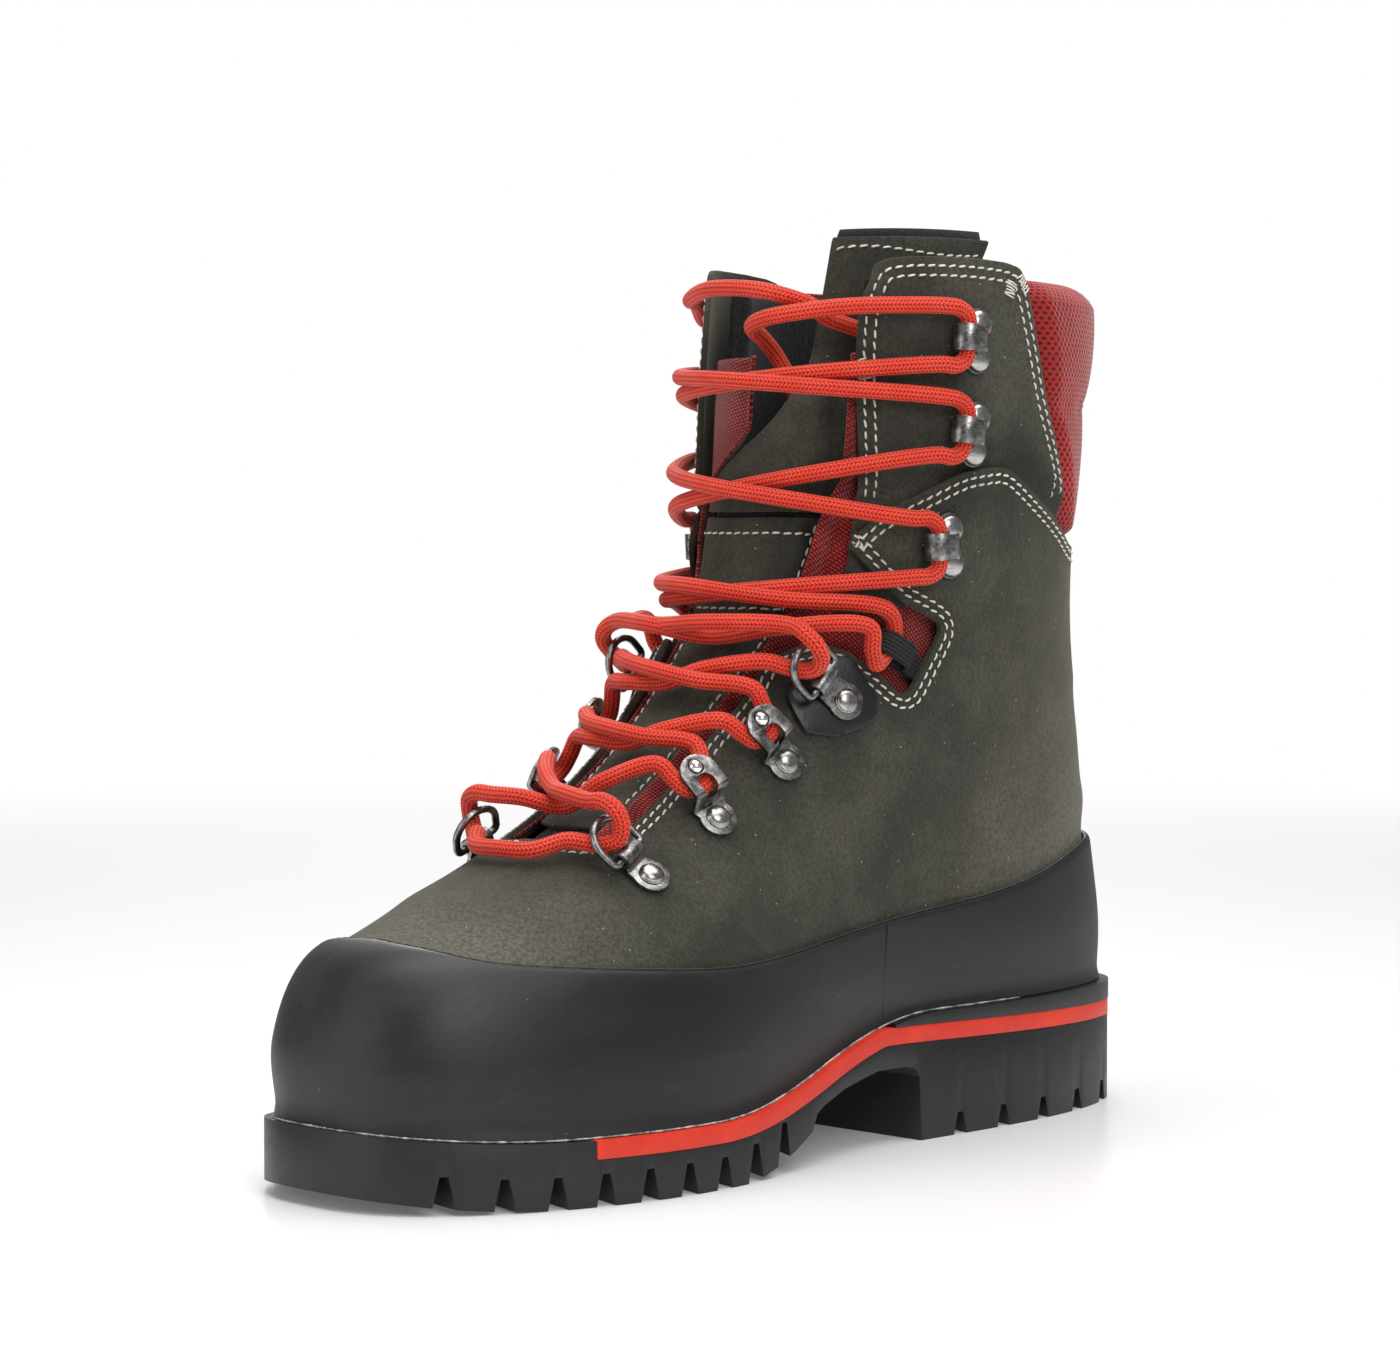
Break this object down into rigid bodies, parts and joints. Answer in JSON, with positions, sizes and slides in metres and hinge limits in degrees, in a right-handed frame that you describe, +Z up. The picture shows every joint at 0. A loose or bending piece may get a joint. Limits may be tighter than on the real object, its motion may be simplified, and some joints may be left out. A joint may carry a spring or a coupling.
{
  "type": "mountaineering boot",
  "caption": "Right-foot laced mountaineering boot: grey suede upper on a lugged sole with a red midsole, black rubber rand, red mesh gussets, open lace hooks and a red lace.",
  "frame": {"origin": "middle of the sole footprint, on the ground", "axes": "+Y from toe to heel, +X towards the inner (medial) side, +Z up"},
  "size_m": [0.1172, 0.311, 0.2643],
  "materials": {
    "black_rubber": "moulded, satin",
    "rand_rubber": "smooth, matte",
    "red_rubber": "satin",
    "shank_plate": "brushed",
    "board": "matte",
    "footbed_foam": "cloth-topped foam",
    "grey_suede": "napped suede",
    "red_mesh": "open woven mesh",
    "black_lining": "brushed knit",
    "red_lace": "round braid",
    "aglet_plastic": "glossy",
    "gunmetal": "antique nickel, worn edges",
    "bright_steel": "polished",
    "black_webbing": "woven"
  },
  "bodies": {
    "boot": {"outsole": "black_rubber", "heel_welt": "black_rubber", "front_rand": "rand_rubber", "heel_rand": "rand_rubber", "back_strip": "rand_rubber", "red_midsole": "red_rubber", "shank": "shank_plate", "lasting_board": "board", "toe_stiffener": "board", "heel_counter": "board", "footbed": "footbed_foam", "vamp_quarters": "grey_suede", "cuff_flap_medial": "grey_suede", "cuff_flap_lateral": "grey_suede", "tongue_lower_panel": "grey_suede", "tongue_middle_panel": "grey_suede", "tongue_upper_panel": "grey_suede", "rear_collar": "red_mesh", "bellows_medial": "red_mesh", "bellows_lateral": "red_mesh", "lining": "black_lining", "tongue_pad": "black_lining", "lace": "red_lace", "aglet_medial": "aglet_plastic", "aglet_lateral": "aglet_plastic", "row1_medial_plate": "gunmetal", "row1_medial_rivet": "gunmetal", "row4_medial_plate": "gunmetal", "row4_medial_rivet": "gunmetal", "row4_medial_backing": "black_webbing", "row2_medial_eyelet": "gunmetal", "row2_medial_rivet": "gunmetal", "row3_medial_eyelet": "gunmetal", "row3_medial_rivet": "gunmetal", "row5_medial_loop": "black_webbing", "row6_medial_hook": "gunmetal", "row7_medial_hook": "gunmetal", "row8_medial_hook": "gunmetal", "row1_lateral_plate": "gunmetal", "row1_lateral_rivet": "gunmetal", "row4_lateral_plate": "gunmetal", "row4_lateral_rivet": "gunmetal", "row4_lateral_backing": "black_webbing", "row2_lateral_eyelet": "gunmetal", "row2_lateral_rivet": "gunmetal", "row3_lateral_eyelet": "gunmetal", "row3_lateral_rivet": "gunmetal", "row5_lateral_loop": "black_webbing", "row6_lateral_hook": "gunmetal", "row7_lateral_hook": "gunmetal", "row8_lateral_hook": "gunmetal"},
    "row1_lateral_ring_body": {"row1_lateral_ring": "gunmetal"},
    "row1_medial_ring_body": {"row1_medial_ring": "gunmetal"},
    "row2_lateral_ball_body": {"row2_lateral_ball": "bright_steel"},
    "row2_medial_ball_body": {"row2_medial_ball": "bright_steel"},
    "row3_lateral_ball_body": {"row3_lateral_ball": "bright_steel"},
    "row3_medial_ball_body": {"row3_medial_ball": "bright_steel"},
    "row4_lateral_ring_body": {"row4_lateral_ring": "gunmetal"},
    "row4_medial_ring_body": {"row4_medial_ring": "gunmetal"}
  },
  "joints": [
    {"name": "row1_lateral_hinge", "type": "hinge", "parent": "boot", "child": "row1_lateral_ring_body", "pos_m": [-0.03116, -0.06837, 0.08872], "axis": [0.177, 0.8507, 0.4949], "range_deg": [-5, 6]},
    {"name": "row1_medial_hinge", "type": "hinge", "parent": "boot", "child": "row1_medial_ring_body", "pos_m": [0.03101, -0.06824, 0.08882], "axis": [0.1937, -0.8609, -0.4705], "range_deg": [-5, 6]},
    {"name": "row2_lateral_spin", "type": "hinge", "parent": "boot", "child": "row2_lateral_ball_body", "pos_m": [-0.03067, -0.04229, 0.11109], "axis": [-0.1164, 0.9167, 0.3822], "continuous": true},
    {"name": "row2_medial_spin", "type": "hinge", "parent": "boot", "child": "row2_medial_ball_body", "pos_m": [0.02998, -0.04216, 0.11123], "axis": [-0.1054, -0.924, -0.3677], "continuous": true},
    {"name": "row3_lateral_spin", "type": "hinge", "parent": "boot", "child": "row3_lateral_ball_body", "pos_m": [-0.03509, -0.0211, 0.124], "axis": [-0.0467, 0.7953, 0.6044], "continuous": true},
    {"name": "row3_medial_spin", "type": "hinge", "parent": "boot", "child": "row3_medial_ball_body", "pos_m": [0.03474, -0.02124, 0.12389], "axis": [-0.0623, -0.7896, -0.6105], "continuous": true},
    {"name": "row4_lateral_hinge", "type": "hinge", "parent": "boot", "child": "row4_lateral_ring_body", "pos_m": [-0.0393, -0.00018, 0.1345], "axis": [-0.0769, 0.6407, 0.7639], "range_deg": [-5, 6]},
    {"name": "row4_medial_hinge", "type": "hinge", "parent": "boot", "child": "row4_medial_ring_body", "pos_m": [0.03869, -0.00018, 0.1345], "axis": [-0.0769, -0.6407, -0.7639], "range_deg": [-5, 6]}
  ]
}
